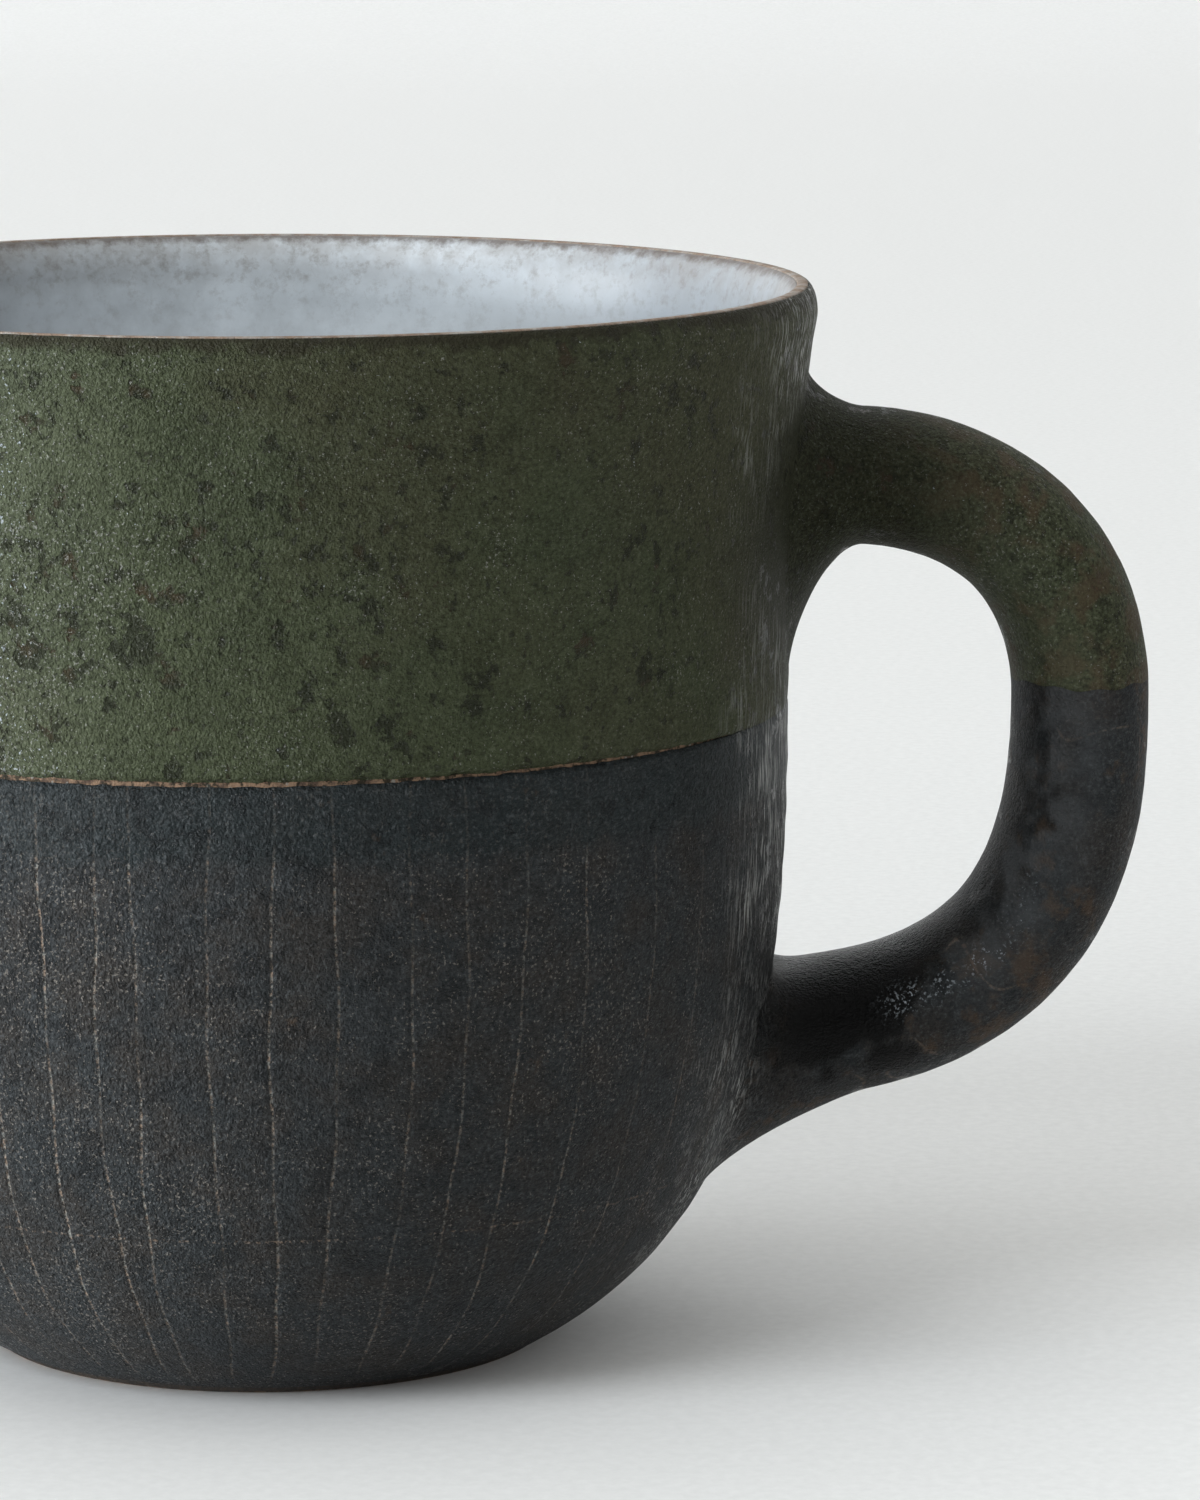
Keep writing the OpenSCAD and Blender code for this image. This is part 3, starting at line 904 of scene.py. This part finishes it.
def handle_skin():
    """Outer face of the handle from wall to wall, and the row at which its colour changes."""
    upper = root_rows(upper_root_s, -1, 1, upper_skirt_z, around(10.2, 10.8, 17.0) * MM,
                      around(6, 6, 9) * MM, around(5, 6, 15) * MM)
    lower = root_rows(lower_root_s, 1, -1, lower_skirt_z, around(15.0, 11.5, 6.4) * MM,
                      around(9, 8, 9) * MM, around(14, 8, 2.5) * MM)
    wander = (0.5 * np.sin(turns + 1) + 0.25 * np.sin(3 * turns) + 0.12 * np.sin(11 * turns + 2)) * MM
    seam = loop_seam_s - 1.2 * MM + wander
    share = np.linspace(0, 1, 110)[:, None]
    first = upper_root_s + (seam - upper_root_s) * share
    second = seam + (lower_root_s - seam) * share[1:]
    skin = np.concatenate([upper[::-1], loop_ring(first), loop_ring(second), lower])
    calm = end_fade(len(skin), 12)
    normal = surface_normals(skin)
    lumps = grain(skin, 14 * MM, 0.14 * MM, 2) + grain(skin, 2.4 * MM, 0.03 * MM)
    skin = skin + normal * (lumps * calm)[..., None]
    return skin, len(upper) + len(first) - 1


def tenon(s):
    """Narrowed end of the handle's clay at a length along the loop."""
    return loop_ring(np.array([[s]]), -coat_t - coil_cover)


def painted_sheen_share(grid):
    """How much painted sheen lies on the coat, from 0 to 1: most along the loop's inner side."""
    inner = smooth((0.5 - np.cos(turns)) / 0.9)
    away = smooth((grid[..., 0] - 52 * MM) / (9 * MM))
    return inner * away * np.clip(0.75 + grain(grid, 3 * MM, 0.6), 0, 1)


def handle_pieces(clay, green, slip):
    """Clay loop, the two coils worked round its ends, and the two coats over them."""
    skin, seam_row = handle_skin()
    normal = surface_normals(skin)
    thickness = coat_t * (thinnest + (1 - thinnest) * end_fade(len(skin), 10))
    under = skin - normal * thickness[..., None]
    first, last = ROOT_ROWS, len(skin) - 1 - ROOT_ROWS
    start, end = tenon(upper_root_s), tenon(lower_root_s)
    start_in = tenon(upper_arm.where(0, upper_tenon_x))
    end_in = tenon(loop_seam_s + lower_arm.where(0, lower_tenon_x))
    core = np.concatenate([start_in, start, under[first:last + 1], end, end_in])
    make_piece("pulled_handle", *capped_mesh(core), "stoneware_clay", ["handle"], clay)
    coil = np.concatenate([under[:first + 1], start, start_in])
    make_piece("upper_coil", *ring_mesh(coil), "stoneware_clay", ["upper_join_coil"], clay)
    coil = np.concatenate([under[last:], end_in, end])
    make_piece("lower_coil", *ring_mesh(coil), "stoneware_clay", ["lower_join_coil"], clay)
    upper = np.concatenate([skin[:seam_row + 1], under[seam_row::-1]])
    piece = make_piece("handle_green_coat", *ring_mesh(upper), "green_matte_glaze",
                       ["handle_green_glaze"], green)
    # painted sheen along the inner side of the handle's green coat
    keep_values(piece, "painted_sheen", painted_sheen_share(upper))
    lower = np.concatenate([skin[seam_row:], under[:seam_row - 1:-1]])
    piece = make_piece("handle_black_coat", *ring_mesh(lower), "black_matte_slip",
                       ["handle_black_slip"], slip)
    mark_black_coat(piece, lower)


def mark_black_coat(piece, grid):
    """Says where the handle's black coat is dark and glossy with painted shade, has painted sheen or painted
    glints, or is part of the wall's look.
    """
    x, z = grid[..., 0], grid[..., 2]
    crotch = smooth((62 * MM - x) / (10 * MM)) * smooth((44 * MM - z) / (8 * MM))
    # painted shade: near black in the crotch and on the loop's inner side
    gloss_and_shade = smooth((crotch - 0.6 - np.cos(turns) + grain(grid, 4 * MM, 0.9)) / 0.4)
    rows = np.arange(len(grid) // 2)[:, None]
    wall = 1 - smooth((len(rows) - 1 - rows) / 24)
    wall = np.concatenate([wall, wall[::-1]]) + 0 * gloss_and_shade
    keep_values(piece, "wall", wall)
    keep_values(piece, "gloss_and_shade", gloss_and_shade * (0.4 + 0.6 * crotch) * (1 - 0.7 * wall))
    keep_values(piece, "painted_sheen", painted_sheen_share(grid) * (1 - crotch) * (1 - gloss_and_shade))
    # painted glints: a broken line on the -Y face of the lower arm, a little towards its inner side
    ridge = np.exp(-((np.cos(turns) + 0.3) / 0.2) ** 2) * smooth(-2 * np.sin(turns))
    ridge = ridge * smooth((x - 50 * MM) / (4 * MM)) * smooth((66 * MM - x) / (3 * MM)) * (z < 42 * MM)
    keep_values(piece, "glint", ridge * (0.5 + grain(grid, 2 * MM, 0.9)).clip(0, 1))


# ---- studio ----

def studio_floor():
    """Pale sheet that lies flat under the mug and sweeps up into a wall far behind it; it glows more further
    back, and its colour carries painted light and shade.
    """
    front_y, flat_y, bend_r, top_z, side_x = -3.0, 1.6, 0.8, 3.5, 4.5
    lift = np.linspace(0, math.pi / 2, 24)
    y = np.concatenate([[front_y, 0.0], flat_y + bend_r * np.sin(lift), [flat_y + bend_r]])
    z = np.concatenate([[0.0, 0.0], bend_r * (1 - np.cos(lift)), [top_z]])
    points = [(x, v, w) for v, w in zip(y, z) for x in (-side_x, side_x)]
    mesh = bpy.data.meshes.new("studio_floor")
    faces = [(2 * k, 2 * k + 1, 2 * k + 3, 2 * k + 2) for k in range(len(y) - 1)]
    mesh.from_pydata(points, [], faces)
    mesh.polygons.foreach_set("use_smooth", [True] * len(faces))
    p = Paint("studio_paper")
    behind = p.coordinate(1)
    # painted light: the sheet glows more the further back it lies
    glow = p.ranged(behind, 0.3, 1.8, 0.035, 0.15)
    # painted light and shade: paler in front of and just behind the mug, darkest about 9 cm behind its axis,
    # paler again further back, with uneven paper tone over it
    light_and_paper_tone = p.larger(p.ranged(behind, 0.02, 0.085, 0.75, 0.05), p.ranged(behind, 0.1, 0.3, 0.05, 0.40))
    light_and_paper_tone = p.plus(light_and_paper_tone, p.ranged(p.noise(1.2 * MM, 4, 0.7), 0.35, 0.65, -0.1, 0.2))
    p.put(p.mix(PAPER_GREY, PAPER_PALE, light_and_paper_tone), p.shader.inputs["Base Color"])
    p.put(0.9, p.shader.inputs["Roughness"])
    p.put(WHITE, p.shader.inputs["Emission Color"])
    p.put(glow, p.shader.inputs["Emission Strength"])
    mesh.materials.append(p.material)
    floor = bpy.data.objects.new("studio_floor", mesh)
    bpy.context.scene.collection.objects.link(floor)


def area_light(name, azimuth, elevation, distance, size, power, colour):
    """Soft light of that width and height, facing the mug from an azimuth and an elevation in degrees."""
    a, e = math.radians(azimuth), math.radians(elevation)
    lamp = bpy.data.lights.new(name, "AREA")
    lamp.shape = "RECTANGLE"
    lamp.size, lamp.size_y = size
    lamp.energy = power
    lamp.color = colour
    light = bpy.data.objects.new(name, lamp)
    away = Vector((math.cos(e) * math.sin(a), -math.cos(e) * math.cos(a), math.sin(e)))
    light.location = Vector((0, 0, 50 * MM)) + distance * away
    light.rotation_euler = away.to_track_quat("Z", "Y").to_euler()
    bpy.context.scene.collection.objects.link(light)


def studio_light():
    """Cool window light from the left, and a room that is pale above and behind the mug and dim in front."""
    area_light("window", azimuth=-79, elevation=2.5, distance=2.6,
               size=(1.3, 0.45), power=118, colour=(0.91, 0.96, 1.0))
    area_light("skylight", azimuth=-46, elevation=36, distance=2.0,
               size=(0.9, 0.6), power=14, colour=(0.92, 0.97, 1.0))
    world = bpy.data.worlds.new("room")
    world.use_nodes = True
    tree = world.node_tree
    room = tree.nodes["Background"]
    way = tree.nodes.new("ShaderNodeTexCoord")
    lean = tree.nodes.new("ShaderNodeVectorMath")
    lean.operation = "DOT_PRODUCT"
    palest_way = (-0.15, 0.30, 0.94)
    lean.inputs[1].default_value = palest_way
    share = tree.nodes.new("ShaderNodeMapRange")
    low, high, dim, bright = -0.05, 0.95, 0.09, 1.12
    for socket, value in zip(list(share.inputs)[1:5], (low, high, dim, bright)):
        socket.default_value = value
    tree.links.new(way.outputs["Generated"], lean.inputs[0])
    tree.links.new(lean.outputs["Value"], share.inputs[0])
    tree.links.new(share.outputs[0], room.inputs["Strength"])
    room.inputs["Color"].default_value = (0.99, 1.0, 0.97, 1)
    bpy.context.scene.world = world
    bpy.context.scene.view_settings.view_transform = "Standard"


def camera():
    """Long lens, a little above the rim, looking slightly past the mug on its handle's side."""
    lens = bpy.data.cameras.new("camera")
    lens.lens = 155.8
    lens.sensor_width = 36
    lens.clip_end = 20
    eye = bpy.data.objects.new("camera", lens)
    distance, above_rim = 12 * rim_r, 51 * MM
    tilt_down, turn_right = 9.53, 2.99
    eye.location = (0, -distance, rim_z + above_rim)
    eye.rotation_euler = (math.radians(90 - tilt_down), 0, math.radians(-turn_right))
    bpy.context.scene.collection.objects.link(eye)
    bpy.context.scene.camera = eye


camera()
studio_floor()
studio_light()
clay = clay_material()
clay_body(clay)
liner(liner_material())
green_wall(green_material("green_glaze", rust=0.02, grainy=0.5))
black_wall(slip_material("black_slip", rust=0.0))
handle_pieces(clay, green_material("green_glaze_worn", rust=0.10, grainy=0.9),
              slip_material("black_slip_worn", rust=0.10))
